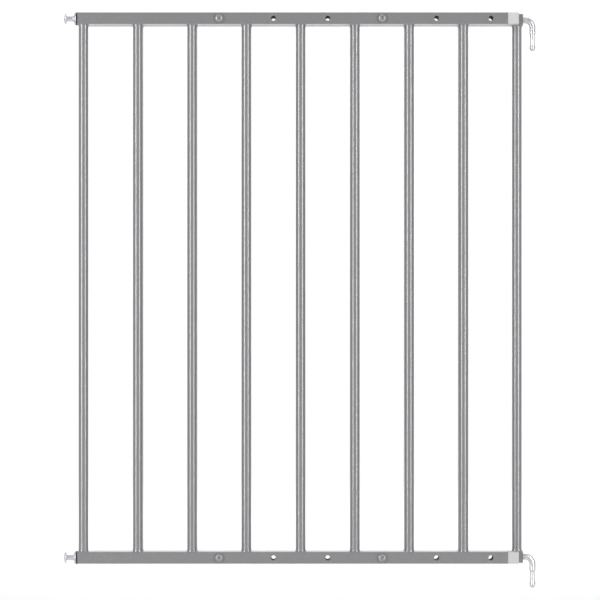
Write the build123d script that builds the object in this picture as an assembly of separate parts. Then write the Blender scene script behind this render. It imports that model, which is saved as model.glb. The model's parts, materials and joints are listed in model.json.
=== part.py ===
from build123d import *
import os

# Extending safety gate: two welded tube panels, one behind the other, screwed together
# through their rails. It hangs on two hooks at one end and is caught by two headed studs
# at the other.
#
# Millimetres. The origin is on the hinge axis, half way down the round of the lower hook.
# +X runs towards the hinge side, +Z is up, and the front panel lies on the -Y side.
#
# Each panel is made in its own frame: X runs along the rails from the fitted end, where the
# hook or stud screws in, and +Y points at the other panel.

# ---- panels ----
FRAME_HEIGHT = 720.0      # underside of the bottom rails to the top of the top rails
BAR_PITCH = 71.0          # bar to bar, which is also one step of width
BARS_PER_PANEL = 8
RAIL_SIZE = 15.5          # square tube
RAIL_WALL = 1.1
RAIL_CORNER = 1.6
BAR_DIAMETER = 12.7
BAR_WALL = 0.9
END_MARGIN = 1.25         # rail end past the outside of the end bar
PANEL_GAP = 1.0           # between the rails of the two panels

# ---- holes along the rails, one in the middle of each space between bars ----
FRONT_FIRST_HOLE = 2      # the front rails have none in their first two spaces
REAR_FIRST_HOLE = 0
SCREW_SPACES = {"left": 2, "right": 5}    # front panel spaces that hold the screws

# ---- panel screws, washers and cap nuts ----
SCREW_DIAMETER = 6.0
SCREW_HOLE_CLEARANCE = 0.4    # on the diameter
SCREW_HEAD_DIAMETER = 11.5
SCREW_HEAD_HEIGHT = 4.0
SCREW_HEAD_RIM = 1.4          # straight rim of the pan head
SCREW_HEAD_FLAT = 5.0         # flat middle of the pan head
SCREW_ENGAGEMENT = 7.0        # length of screw inside the nut
RECESS_SPAN = 6.4             # cross recess, tip to tip
RECESS_WIDTH = 1.3
RECESS_DEPTH = 2.2
WASHER_DIAMETER = 12.0
WASHER_THICKNESS = 1.2
NUT_ACROSS_FLATS = 10.0
NUT_HEX_HEIGHT = 5.5
NUT_DOME_DIAMETER = 9.4
NUT_DOME_SHOULDER = 1.6       # straight wall under the dome
NUT_BORE_SPARE = 1.5          # bore depth past the screw's tip

# ---- threaded rods: the hooks' shanks and the studs ----
ROD_DIAMETER = 8.0
ROD_TIP_CHAMFER = 1.0
INSERT_WALL = 1.25
INSERT_LENGTH = 16.0
PLUG_LIP = 2.0                # plug material outside the insert
PLUG_BORE_CLEARANCE = 0.4     # on the diameter

# ---- hinge hooks ----
HOOK_STANDOFF = 12.9          # rail end to the hinge axis
HOOK_INSERTION = 30.0
HOOK_BEND = 9.5               # radius of the rod's centre line
HOOK_PIN_LENGTH = 8.0         # full round below the bend
HOOK_TAPER = 2.0
HOOK_NECK_DIAMETER = 6.0
HOOK_NECK_LENGTH = 13.0
HOOK_BULB_DIAMETER = 7.7
HOOK_BULB_LENGTH = 8.0
HOOK_TIP_DIAMETER = 4.0

# ---- latch studs, their lock nuts and washers ----
STUD_INSERTION = 28.0
STUD_HEAD_DIAMETER = 14.6
STUD_HEAD_THICKNESS = 2.7
STUD_HEAD_RIM = 1.2
STUD_HEAD_FLAT = 8.0
STUD_NECK_DIAMETER = 7.0
STUD_NECK_LENGTH = 9.8
STUD_NECK_ROOT = 0.5          # thread that shows outside the lock nut
LOCK_NUT_DIAMETER = 17.0
LOCK_NUT_TOP_DIAMETER = 9.6
LOCK_NUT_HEIGHT = 3.0
LOCK_NUT_RIM = 0.9
STUD_WASHER_DIAMETER = 17.0
STUD_WASHER_THICKNESS = 2.0

# ---- glide caps on the rails' other ends ----
CAP_LENGTH = 14.1
CAP_SETBACK = 6.5             # cap's end short of the other panel's end when closed
CAP_STEP = 0.15               # cap inside the rail's outline, each side
CAP_EDGE = 0.9
CAP_TONGUE = 12.0
PAD_LENGTH = 11.0
PAD_WIDTH = 9.0

# ---- fits ----
PLUG_FIT = 0.05               # plug or tongue inside the tube, each side
INSERT_FIT = 0.02             # insert in its plug, on the radius
THREAD_FIT = 0.05             # rod or screw in its thread, on the radius
SEAT_GAP = 0.05               # head, washer or nut over the face that it sits on
GLIDE_CLEARANCE = 0.3         # glide pad to the other panel's rail

# ---- places that follow from the sizes ----
RAIL_INNER = RAIL_SIZE - 2 * RAIL_WALL
RAIL_INNER_CORNER = max(RAIL_CORNER - RAIL_WALL, 0.3)
PLUG_SIZE = RAIL_INNER - 2 * PLUG_FIT
CAP_SIZE = RAIL_SIZE - 2 * CAP_STEP
PAD_THICKNESS = PANEL_GAP - GLIDE_CLEARANCE
FIRST_BAR = END_MARGIN + BAR_DIAMETER / 2
RAIL_OVERHANG = BAR_PITCH + FIRST_BAR - CAP_SETBACK - CAP_LENGTH
RAIL_LENGTH = FIRST_BAR + (BARS_PER_PANEL - 1) * BAR_PITCH + RAIL_OVERHANG
BAR_LENGTH = FRAME_HEIGHT - 2 * RAIL_SIZE
SCREW_HOLE = SCREW_DIAMETER + SCREW_HOLE_CLEARANCE
SCREW_LENGTH = 2 * RAIL_SIZE + PANEL_GAP + WASHER_THICKNESS + SCREW_ENGAGEMENT
INSERT_BORE = ROD_DIAMETER + 2 * THREAD_FIT
INSERT_DIAMETER = INSERT_BORE + 2 * INSERT_WALL

Z_BOTTOM = HOOK_BEND + HOOK_PIN_LENGTH / 2
Z_TOP = Z_BOTTOM + FRAME_HEIGHT - RAIL_SIZE
LEVELS = {"top": Z_TOP, "bottom": Z_BOTTOM}
X_REAR_END = -HOOK_STANDOFF
X_FRONT_END = X_REAR_END - 2 * FIRST_BAR - BARS_PER_PANEL * BAR_PITCH
Y_FRONT = -(RAIL_SIZE + PANEL_GAP)
REAR = Location((X_REAR_END, 0, 0), (0, 0, 180))
FRONT = Location((X_FRONT_END, Y_FRONT, 0))


def bar_place(number):
    return FIRST_BAR + number * BAR_PITCH


def hole_place(space):
    return bar_place(space) + BAR_PITCH / 2


def square(size, corner, length):
    """A square bar along +X with rounded corners."""
    return extrude(Plane.YZ * RectangleRounded(size, size, corner), length)


def rail(first_hole):
    tube = square(RAIL_SIZE, RAIL_CORNER, RAIL_LENGTH)
    tube -= square(RAIL_INNER, RAIL_INNER_CORNER, RAIL_LENGTH)
    drill = Rot(90, 0, 0) * Cylinder(SCREW_HOLE / 2, 2 * RAIL_SIZE)
    for space in range(first_hole, BARS_PER_PANEL):
        tube -= Pos(hole_place(space), 0, 0) * drill
    return tube


def bar(number):
    ring = Circle(BAR_DIAMETER / 2) - Circle(BAR_DIAMETER / 2 - BAR_WALL)
    return Pos(bar_place(number), 0, Z_BOTTOM + RAIL_SIZE / 2) * extrude(ring, BAR_LENGTH)


def end_plug():
    """Plastic plug, flush with the rail's fitted end, that holds the threaded insert."""
    length = PLUG_LIP + INSERT_LENGTH
    rod_hole = ROD_DIAMETER + PLUG_BORE_CLEARANCE
    pocket = INSERT_DIAMETER + 2 * INSERT_FIT
    plug = square(PLUG_SIZE, RAIL_INNER_CORNER, length)
    plug -= extrude(Plane.YZ * Circle(rod_hole / 2), length)
    plug -= Pos(PLUG_LIP, 0, 0) * extrude(Plane.YZ * Circle(pocket / 2), INSERT_LENGTH)
    return plug


def insert_nut():
    ring = Circle(INSERT_DIAMETER / 2) - Circle(INSERT_BORE / 2)
    return Pos(PLUG_LIP, 0, 0) * extrude(Plane.YZ * ring, INSERT_LENGTH)


def glide_cap():
    """Plastic cap on the rail's other end, with a pad that rubs on the other panel's rail."""
    block = square(CAP_SIZE, RAIL_CORNER, CAP_LENGTH)
    block = fillet(block.faces().sort_by(Axis.X)[-1].edges(), CAP_EDGE)
    tongue = square(PLUG_SIZE, RAIL_INNER_CORNER, -CAP_TONGUE)
    pad_rise = CAP_STEP + PAD_THICKNESS
    pad = Pos(CAP_LENGTH / 2, CAP_SIZE / 2, 0) * Box(PAD_LENGTH, 2 * pad_rise, PAD_WIDTH)
    return Pos(RAIL_LENGTH, 0, 0) * (block + tongue + pad)


def hinge_hook():
    """Bent rod: its shank lies along X at Z = 0, and its leg hangs on the Z axis."""
    rod = ROD_DIAMETER / 2
    shank_length = HOOK_INSERTION + HOOK_STANDOFF - HOOK_BEND
    shank = extrude(Plane.YZ * Circle(rod), shank_length)
    shank = chamfer(shank.edges().sort_by(Axis.X)[0], ROD_TIP_CHAMFER)
    shank = Pos(-HOOK_BEND - shank_length, 0, 0) * shank
    bend_axis = Axis((-HOOK_BEND, 0, -HOOK_BEND), (0, 1, 0))
    bend = revolve(Plane.YZ.offset(-HOOK_BEND) * Circle(rod), bend_axis, 90)
    neck = HOOK_NECK_DIAMETER / 2
    bulb = HOOK_BULB_DIAMETER / 2
    tip = HOOK_TIP_DIAMETER / 2
    pin_end = -HOOK_BEND - HOOK_PIN_LENGTH
    neck_top = pin_end - HOOK_TAPER
    bulb_top = neck_top - HOOK_NECK_LENGTH
    bulb_end = bulb_top - HOOK_BULB_LENGTH
    upper = Polyline((0, bulb_end), (0, -HOOK_BEND), (rod, -HOOK_BEND), (rod, pin_end),
                     (neck, neck_top), (neck, bulb_top))
    round_end = ThreePointArc((neck, bulb_top), (bulb, bulb_top - HOOK_BULB_LENGTH / 2),
                              (tip, bulb_end))
    outline = upper + round_end + Line((tip, bulb_end), (0, bulb_end))
    leg = revolve(Plane.XZ * make_face(outline), Axis.Z)
    return shank + bend + leg


def latch_stud():
    """Headed stud along X, threaded into the rail's fitted end at X = 0."""
    head = STUD_HEAD_DIAMETER / 2
    neck = STUD_NECK_DIAMETER / 2
    rod = ROD_DIAMETER / 2
    nut_face = -STUD_WASHER_THICKNESS - LOCK_NUT_HEIGHT
    thread_end = nut_face - STUD_NECK_ROOT
    head_in = nut_face - STUD_NECK_LENGTH
    head_out = head_in - STUD_HEAD_THICKNESS
    flat_edge = (head_out, STUD_HEAD_FLAT / 2)
    rim_edge = (head_in - STUD_HEAD_RIM, head)
    crown = TangentArc(flat_edge, rim_edge, tangent=(0, 1))
    sides = Polyline(rim_edge, (head_in, head), (head_in, neck),
                     (thread_end, neck), (thread_end, rod),
                     (STUD_INSERTION - ROD_TIP_CHAMFER, rod),
                     (STUD_INSERTION, rod - ROD_TIP_CHAMFER), (STUD_INSERTION, 0),
                     (head_out, 0), flat_edge)
    return revolve(make_face(crown + sides), Axis.X)


def stud_lock_nut():
    """Low domed nut that jams the stud against the washer."""
    bore = INSERT_BORE / 2
    rim = LOCK_NUT_DIAMETER / 2
    top = LOCK_NUT_TOP_DIAMETER / 2
    base = -STUD_WASHER_THICKNESS - SEAT_GAP
    face = -STUD_WASHER_THICKNESS - LOCK_NUT_HEIGHT
    rim_edge = (base - LOCK_NUT_RIM, rim)
    dome = TangentArc((face, top), rim_edge, tangent=(0, 1))
    sides = Polyline(rim_edge, (base, rim), (base, bore), (face, bore), (face, top))
    return revolve(make_face(dome + sides), Axis.X)


def stud_washer():
    hole = ROD_DIAMETER + PLUG_BORE_CLEARANCE
    ring = Circle(STUD_WASHER_DIAMETER / 2) - Circle(hole / 2)
    start = -STUD_WASHER_THICKNESS - SEAT_GAP
    washer = extrude(Plane.YZ * ring, STUD_WASHER_THICKNESS)
    return Pos(start, 0, 0) * washer


def connecting_screw():
    """Pan-headed screw along +Y, with the face under its head at Y = 0."""
    head = SCREW_HEAD_DIAMETER / 2
    rod = SCREW_DIAMETER / 2
    flat_edge = (SCREW_HEAD_FLAT / 2, -SCREW_HEAD_HEIGHT)
    rim_edge = (head, -SCREW_HEAD_RIM)
    crown = TangentArc(flat_edge, rim_edge, tangent=(1, 0))
    sides = Polyline(rim_edge, (head, 0), (rod, 0), (rod, SCREW_LENGTH - ROD_TIP_CHAMFER),
                     (rod - ROD_TIP_CHAMFER, SCREW_LENGTH), (0, SCREW_LENGTH),
                     (0, -SCREW_HEAD_HEIGHT), flat_edge)
    screw = revolve(make_face(crown + sides), Axis.Y)
    slot = Box(RECESS_SPAN, 2 * RECESS_DEPTH, RECESS_WIDTH)
    slot = chamfer(slot.edges().filter_by(Axis.Z).group_by(Axis.Y)[-1], RECESS_WIDTH)
    for turn in (45, 135):
        screw -= Pos(0, -SCREW_HEAD_HEIGHT, 0) * Rot(0, turn, 0) * slot
    return Pos(0, -SEAT_GAP, 0) * screw


def nut_washer():
    """Washer behind the rear rail, whose face is at Y = 0."""
    ring = Circle(WASHER_DIAMETER / 2) - Circle(SCREW_HOLE / 2)
    return Pos(0, SEAT_GAP, 0) * extrude(Plane.XZ * ring, -WASHER_THICKNESS)


def cap_nut():
    """Domed nut on the washer, with a blind bore for the screw."""
    base = WASHER_THICKNESS + SEAT_GAP
    hexagon = RegularPolygon(NUT_ACROSS_FLATS / 2, 6, major_radius=False)
    nut = extrude(Plane.XZ * hexagon, -NUT_HEX_HEIGHT)
    dome = NUT_DOME_DIAMETER / 2
    shoulder = NUT_HEX_HEIGHT + NUT_DOME_SHOULDER
    crown = CenterArc((0, shoulder), dome, 0, 90)
    sides = Polyline((0, shoulder + dome), (0, 0), (dome, 0), (dome, shoulder))
    nut += revolve(make_face(crown + sides), Axis.Y)
    bore = Circle(SCREW_DIAMETER / 2 + THREAD_FIT)
    nut -= extrude(Plane.XZ * bore, -(SCREW_ENGAGEMENT + NUT_BORE_SPARE))
    return Pos(0, base, 0) * nut


def panel_pieces(panel, place, first_hole):
    """Every piece that is welded or pressed into one panel, by node name."""
    pieces = {}
    for level, z in LEVELS.items():
        seat = place * Pos(0, 0, z)
        pieces[f"{panel}_{level}_rail"] = seat * rail(first_hole)
        pieces[f"{panel}_{level}_end_plug"] = seat * end_plug()
        pieces[f"{panel}_{level}_insert_nut"] = seat * insert_nut()
        pieces[f"{panel}_{level}_glide_cap"] = seat * glide_cap()
    for number in range(BARS_PER_PANEL):
        pieces[f"{panel}_bar_{number + 1}"] = place * bar(number)
    return pieces


def end_fittings():
    """Hooks on the rear panel's end, studs with their lock nuts and washers on the front's."""
    pieces = {}
    for level, z in LEVELS.items():
        pieces[f"hinge_hook_{level}"] = Pos(0, 0, z) * hinge_hook()
        seat = FRONT * Pos(0, 0, z)
        pieces[f"latch_stud_{level}"] = seat * latch_stud()
        pieces[f"stud_lock_nut_{level}"] = seat * stud_lock_nut()
        pieces[f"stud_washer_{level}"] = seat * stud_washer()
    return pieces


def panel_fasteners():
    """A screw, washer and cap nut through both panels at each screwed hole."""
    pieces = {}
    for level, z in LEVELS.items():
        for side, space in SCREW_SPACES.items():
            x = X_FRONT_END + hole_place(space)
            front_face = Pos(x, Y_FRONT - RAIL_SIZE / 2, z)
            rear_face = Pos(x, RAIL_SIZE / 2, z)
            pieces[f"panel_screw_{level}_{side}"] = front_face * connecting_screw()
            pieces[f"nut_washer_{level}_{side}"] = rear_face * nut_washer()
            pieces[f"cap_nut_{level}_{side}"] = rear_face * cap_nut()
    return pieces


os.makedirs("parts", exist_ok=True)
gate = panel_pieces("rear", REAR, REAR_FIRST_HOLE)
gate |= panel_pieces("front", FRONT, FRONT_FIRST_HOLE)
gate |= end_fittings()
gate |= panel_fasteners()
for name, piece in gate.items():
    export_step(piece, f"parts/{name}.step")
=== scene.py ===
"""Looks for the extending safety gate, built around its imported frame.

Every size is in metres and every piece stays where its CAD node is: X runs along the
rails, Z is up, and the front panel lies on the -Y side.
"""

import json
from math import atan2, cos, hypot, pi, radians, sin

import bmesh
import bpy
from bpy.props import FloatProperty, FloatVectorProperty, IntProperty, PointerProperty
from mathutils import Matrix, Vector

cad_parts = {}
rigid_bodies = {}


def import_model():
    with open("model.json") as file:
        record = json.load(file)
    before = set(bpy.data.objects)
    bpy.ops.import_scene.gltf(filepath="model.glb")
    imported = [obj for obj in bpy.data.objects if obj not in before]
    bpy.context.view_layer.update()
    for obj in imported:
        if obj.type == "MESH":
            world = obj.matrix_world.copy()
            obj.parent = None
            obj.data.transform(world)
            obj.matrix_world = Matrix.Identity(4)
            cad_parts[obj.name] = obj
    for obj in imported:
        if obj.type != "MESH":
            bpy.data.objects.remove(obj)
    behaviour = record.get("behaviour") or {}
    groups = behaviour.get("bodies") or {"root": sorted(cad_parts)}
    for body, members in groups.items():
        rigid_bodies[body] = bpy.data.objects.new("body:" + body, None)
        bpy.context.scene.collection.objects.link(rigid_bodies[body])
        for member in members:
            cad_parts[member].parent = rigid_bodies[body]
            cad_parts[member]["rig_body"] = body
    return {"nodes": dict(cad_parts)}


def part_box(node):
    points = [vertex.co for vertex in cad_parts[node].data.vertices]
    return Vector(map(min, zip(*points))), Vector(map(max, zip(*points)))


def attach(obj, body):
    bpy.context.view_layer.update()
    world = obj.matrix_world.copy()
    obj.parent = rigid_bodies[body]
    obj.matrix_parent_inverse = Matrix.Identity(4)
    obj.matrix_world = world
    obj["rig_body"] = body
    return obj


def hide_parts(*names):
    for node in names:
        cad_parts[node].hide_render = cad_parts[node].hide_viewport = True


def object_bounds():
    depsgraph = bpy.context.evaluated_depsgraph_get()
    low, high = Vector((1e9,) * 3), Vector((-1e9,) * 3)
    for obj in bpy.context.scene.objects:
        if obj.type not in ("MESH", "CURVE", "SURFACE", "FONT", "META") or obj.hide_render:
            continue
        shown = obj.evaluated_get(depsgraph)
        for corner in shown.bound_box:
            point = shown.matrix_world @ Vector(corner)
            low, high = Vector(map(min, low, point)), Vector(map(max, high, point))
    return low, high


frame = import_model()
CAD_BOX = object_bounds()

bl_info = {
    "name": "Extending Safety Gate",
    "version": (1, 0, 0),
    "blender": (4, 5, 0),
    "location": "View3D > Sidebar > Safety Gate",
    "description": "Builds the rails, bars, hooks, studs and screws of an extending safety gate",
    "category": "Add Mesh",
}

PANELS = ("rear", "front")
LEVELS = ("top", "bottom")
SCREW_SIDES = ("left", "right")
BARS_PER_PANEL = 8
FRONT_BLANK_SPACES = 2    # the front rails have no holes in their first spaces
TURN = 2 * pi
CLOSE = 1e-7              # points nearer than this are one point

# Glide caps
PAD_RISE = 0.00085
PAD_EDGE = 0.0004
CAP_CORNER = 0.0016
DISH_SHARE = 0.80         # dished part of the cap's end
DISH_FLOOR = 0.95         # the dish's floor, as a share of its rim
DISH_DEPTH = 0.0003
TONGUE_STRAIGHT = 0.93    # share of the tongue before its narrower tip
TONGUE_TIP = 0.94
TONGUE_BORE = 0.80        # hollow of the tongue, as a share of its tip
TONGUE_BORE_DEPTH = 0.75

# Rods of the hooks and studs
ROD_RADIUS = 0.004
ROD_CHAMFER = 0.001
RUNOUT_START = 0.0004     # height over a rod's tip where its thread begins

# Hook legs, as heights over the tip and radii
HOOK_THREAD_STOP = 0.0012
HOOK_PIN_LENGTH = 0.0080
HOOK_PIN_FOOT = 0.0230
HOOK_NECK_TOP = 0.0210
HOOK_NECK_FOOT = 0.0080
HOOK_NECK_RADIUS = 0.0030
HOOK_BULB_TOP = 0.0050
HOOK_BULB_FOOT = 0.0030
HOOK_BULB_RADIUS = 0.00385
HOOK_TIP_RADIUS = 0.0020

# Latch studs and their lock nuts
STUD_NECK_RADIUS = 0.0035
STUD_NECK_LENGTH = 0.0098
STUD_NECK_SPARE = 0.0005  # neck that the lock nut hides
STUD_HEAD_THICKNESS = 0.0027
STUD_HEAD_RIM = 0.0012
LOCK_NUT_BORE = 0.00405
LOCK_NUT_RIM = 0.0009
LOCK_NUT_TOP = 0.0048
MILLED_TEETH = 48
MILLED_DEPTH = 0.00012
STUD_WASHER_BORE = 0.0042

# Panel screws and cap nuts
SCREW_RADIUS = 0.003
SCREW_HEAD_HEIGHT = 0.004
SCREW_HEAD_RIM = 0.0014
SCREW_THREAD_LENGTH = 0.026
HEAD_BAND = 0.0016        # depth under the crown that the cross recess cuts into
HEX_HEIGHT = 0.0055
HEX_EDGE = 0.0004
HEX_CREST = 0.0003
DOME_RADIUS = 0.0047
NUT_BORE = 0.00305
NUT_BORE_DEPTH = 0.0085
NUT_WASHER_BORE = 0.0032

# Stage
STRIP_SIZE = (0.24, 2.1)
STRIP_DISTANCE = 2.5
STRIP_HEIGHT = 0.95
CAMERA_OFFSET = 0.0005    # camera to the left of the gate's middle
SENSOR = 36.0


# ---- settings ----

class GateFrameSettings(bpy.types.PropertyGroup):
    """Sizes and finish of the welded tube panels."""

    wall: FloatProperty(
        name="Rail Wall",
        description="Thickness of the square tube's wall",
        default=0.0011,
        min=0.0005,
        precision=4,
        unit="LENGTH",
    )
    corner: FloatProperty(
        name="Rail Corner",
        description="Radius on the long corners of the square tube",
        default=0.0012,
        min=0.0002,
        precision=4,
        unit="LENGTH",
    )
    hole: FloatProperty(
        name="Screw Hole",
        description="Diameter of the holes along the rails",
        default=0.0064,
        min=0.002,
        precision=4,
        unit="LENGTH",
    )
    edge: FloatProperty(
        name="Edge Rounding",
        description="Rounding of hole rims and tube ends under the paint",
        default=0.00028,
        min=0.00005,
        precision=5,
        unit="LENGTH",
    )
    bar_wall: FloatProperty(
        name="Bar Wall",
        description="Thickness of the round tube's wall",
        default=0.0009,
        min=0.0004,
        precision=4,
        unit="LENGTH",
    )
    weld: FloatProperty(
        name="Weld Size",
        description="How far the weld bead spreads from the foot of each bar",
        default=0.00098,
        min=0.0002,
        precision=4,
        unit="LENGTH",
    )
    weld_leg: FloatProperty(
        name="Weld Leg",
        description="How far the weld bead climbs up each bar",
        default=0.0030,
        min=0.0004,
        precision=4,
        unit="LENGTH",
    )
    weld_ripples: IntProperty(
        name="Weld Ripples",
        description="Ripples in the weld bead around each bar",
        default=17,
        min=4,
        max=40,
    )
    paint: FloatVectorProperty(
        name="Powder Coat",
        description="Colour of the powder coat",
        default=(0.191, 0.191, 0.198),
        min=0.0,
        max=1.0,
        size=3,
        subtype="COLOR",
    )


class GateHardwareSettings(bpy.types.PropertyGroup):
    """Threads, recesses and plating of the hooks, studs, screws and nuts."""

    rod_pitch: FloatProperty(
        name="Rod Pitch",
        description="Thread pitch of the hooks and studs",
        default=0.00125,
        min=0.0005,
        precision=5,
        unit="LENGTH",
    )
    screw_pitch: FloatProperty(
        name="Screw Pitch",
        description="Thread pitch of the panel screws",
        default=0.001,
        min=0.0005,
        precision=5,
        unit="LENGTH",
    )
    thread_depth: FloatProperty(
        name="Thread Depth",
        description="Depth of a thread as a share of its pitch",
        default=0.5,
        min=0.1,
        max=0.65,
        subtype="FACTOR",
    )
    hook_bend: FloatProperty(
        name="Hook Bend",
        description="Radius of the hook's bend, to the middle of the rod",
        default=0.0095,
        min=0.005,
        precision=4,
        unit="LENGTH",
    )
    recess_width: FloatProperty(
        name="Recess Width",
        description="Width of each arm of the cross recess",
        default=0.0013,
        min=0.0005,
        precision=4,
        unit="LENGTH",
    )
    recess_span: FloatProperty(
        name="Recess Span",
        description="Cross recess from tip to tip",
        default=0.0064,
        min=0.002,
        precision=4,
        unit="LENGTH",
    )
    recess_depth: FloatProperty(
        name="Recess Depth",
        description="Depth of the cross recess",
        default=0.002,
        min=0.0005,
        precision=4,
        unit="LENGTH",
    )
    zinc: FloatVectorProperty(
        name="Zinc Plate",
        description="Colour of the bright zinc plate",
        default=(0.64, 0.65, 0.67),
        min=0.0,
        max=1.0,
        size=3,
        subtype="COLOR",
    )


class GatePlasticSettings(bpy.types.PropertyGroup):
    """Sizes and colours of the moulded caps, plugs and washers."""

    edge: FloatProperty(
        name="Moulded Edge",
        description="Rounding of the moulded edges",
        default=0.0009,
        min=0.0001,
        precision=5,
        unit="LENGTH",
    )
    tongue: FloatProperty(
        name="Tongue",
        description="Height and width of the cap's tongue inside the rail",
        default=0.0132,
        min=0.005,
        precision=4,
        unit="LENGTH",
    )
    pad_length: FloatProperty(
        name="Pad Length",
        description="Length of the glide pad along the rail",
        default=0.011,
        min=0.002,
        precision=4,
        unit="LENGTH",
    )
    pad_height: FloatProperty(
        name="Pad Height",
        description="Height of the glide pad",
        default=0.009,
        min=0.002,
        precision=4,
        unit="LENGTH",
    )
    cap: FloatVectorProperty(
        name="Cap Plastic",
        description="Colour of the glide caps",
        default=(0.44, 0.44, 0.44),
        min=0.0,
        max=1.0,
        size=3,
        subtype="COLOR",
    )
    plug: FloatVectorProperty(
        name="Black Plastic",
        description="Colour of the end plugs and stud washers",
        default=(0.018, 0.018, 0.020),
        min=0.0,
        max=1.0,
        size=3,
        subtype="COLOR",
    )


class GateStageSettings(bpy.types.PropertyGroup):
    """Floor, lights and camera."""

    floor_drop: FloatProperty(
        name="Floor Drop",
        description="Floor below the lowest point of the gate",
        default=0.09,
        min=0.0,
        unit="LENGTH",
    )
    floor: FloatVectorProperty(
        name="Floor",
        description="Colour of the floor and the sweep behind the gate",
        default=(0.93, 0.93, 0.93),
        min=0.0,
        max=1.0,
        size=3,
        subtype="COLOR",
    )
    camera_distance: FloatProperty(
        name="Camera Distance",
        description="Camera to the front face of the gate",
        default=3.8,
        min=0.5,
        unit="LENGTH",
    )
    camera_height: FloatProperty(
        name="Camera Height",
        description="Height of the camera in the gate's frame",
        default=0.262,
        unit="LENGTH",
    )
    view_width: FloatProperty(
        name="View Width",
        description="Width of the view at the front face of the gate",
        default=0.7832,
        min=0.05,
        unit="LENGTH",
    )
    view_middle: FloatProperty(
        name="View Middle",
        description="Height of the middle of the view",
        default=0.3501,
        unit="LENGTH",
    )
    strip_angle: FloatProperty(
        name="Strip Angle",
        description="How far each strip light stands to the side of the camera",
        default=radians(41.0),
        subtype="ANGLE",
    )
    strip_power: FloatProperty(
        name="Strip Power",
        description="Power of each strip light",
        default=38.0,
        min=0.0,
        unit="POWER",
    )
    sky: FloatProperty(
        name="Sky",
        description="Brightness of the even light all around",
        default=0.55,
        min=0.0,
    )


GATE_SETTINGS = {
    "gate_frame": GateFrameSettings,
    "gate_hardware": GateHardwareSettings,
    "gate_plastic": GatePlasticSettings,
    "gate_stage": GateStageSettings,
}


# ---- node groups shared by the finishes ----

def new_group(name, inputs, outputs):
    """An empty shader group with named inputs (name, default) and outputs."""
    group = bpy.data.node_groups.new(name, "ShaderNodeTree")
    for label, default in inputs:
        socket = group.interface.new_socket(label, in_out="INPUT", socket_type="NodeSocketFloat")
        socket.default_value = default
    for label, kind in outputs:
        group.interface.new_socket(label, in_out="OUTPUT", socket_type=kind)
    return group, group.nodes.new("NodeGroupInput"), group.nodes.new("NodeGroupOutput")


def math_node(tree, operation, first, second=None, clamp=False):
    """A Math node; a number is set on the socket and anything else is linked."""
    node = tree.nodes.new("ShaderNodeMath")
    node.operation = operation
    node.use_clamp = clamp
    for socket, value in zip(node.inputs, (first, second)):
        if isinstance(value, (int, float)):
            socket.default_value = value
        elif value is not None:
            tree.links.new(value, socket)
    return node.outputs["Value"]


def ramp_node(tree, value, low, high):
    """Runs from 0 at low to 1 at high, with soft ends."""
    node = tree.nodes.new("ShaderNodeMapRange")
    node.interpolation_type = "SMOOTHSTEP"
    tree.links.new(value, node.inputs["Value"])
    node.inputs["From Min"].default_value = low
    node.inputs["From Max"].default_value = high
    return node.outputs["Result"]


def noise_node(tree, vector, scale, detail=2.0, roughness=0.5):
    """Noise on a vector; the scale is a number or a socket."""
    node = tree.nodes.new("ShaderNodeTexNoise")
    tree.links.new(vector, node.inputs["Vector"])
    node.inputs["Detail"].default_value = detail
    node.inputs["Roughness"].default_value = roughness
    if isinstance(scale, (int, float)):
        node.inputs["Scale"].default_value = scale
    else:
        tree.links.new(scale, node.inputs["Scale"])
    return node.outputs["Fac"]


def object_place(tree):
    return tree.nodes.new("ShaderNodeTexCoord").outputs["Object"]


def orange_peel_group():
    """Soft lumps of a sprayed or powder coated skin, with fine grit in them."""
    group, given, result = new_group(
        "Coat Skin",
        [("Lump Scale", 620.0), ("Grit Scale", 3400.0), ("Grit", 0.3)],
        [("Height", "NodeSocketFloat"), ("Grit Mask", "NodeSocketFloat")],
    )
    place = object_place(group)
    lumps = noise_node(group, place, given.outputs["Lump Scale"], 1.5)
    grit = noise_node(group, place, given.outputs["Grit Scale"], 2.0)
    grit_height = math_node(group, "MULTIPLY", grit, given.outputs["Grit"])
    height = math_node(group, "ADD", lumps, grit_height)
    group.links.new(height, result.inputs["Height"])
    group.links.new(ramp_node(group, grit, 0.60, 0.74), result.inputs["Grit Mask"])
    return group


def edge_wear_group():
    """Where handling and knocks thin a finish: convex edges, broken up by noise."""
    group, given, result = new_group(
        "Edge Wear",
        [("Reach", 0.52), ("Break Scale", 260.0), ("Amount", 1.0)],
        [("Mask", "NodeSocketFloat")],
    )
    geometry = group.nodes.new("ShaderNodeNewGeometry")
    breaks = noise_node(group, object_place(group), given.outputs["Break Scale"], 4.0, 0.62)
    edge = math_node(group, "SUBTRACT", geometry.outputs["Pointiness"], given.outputs["Reach"])
    edge = math_node(group, "MULTIPLY", edge, 16.0, clamp=True)
    broken = math_node(group, "MULTIPLY", edge, ramp_node(group, breaks, 0.44, 0.62))
    mask = math_node(group, "MULTIPLY", broken, given.outputs["Amount"], clamp=True)
    group.links.new(mask, result.inputs["Mask"])
    return group


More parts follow.
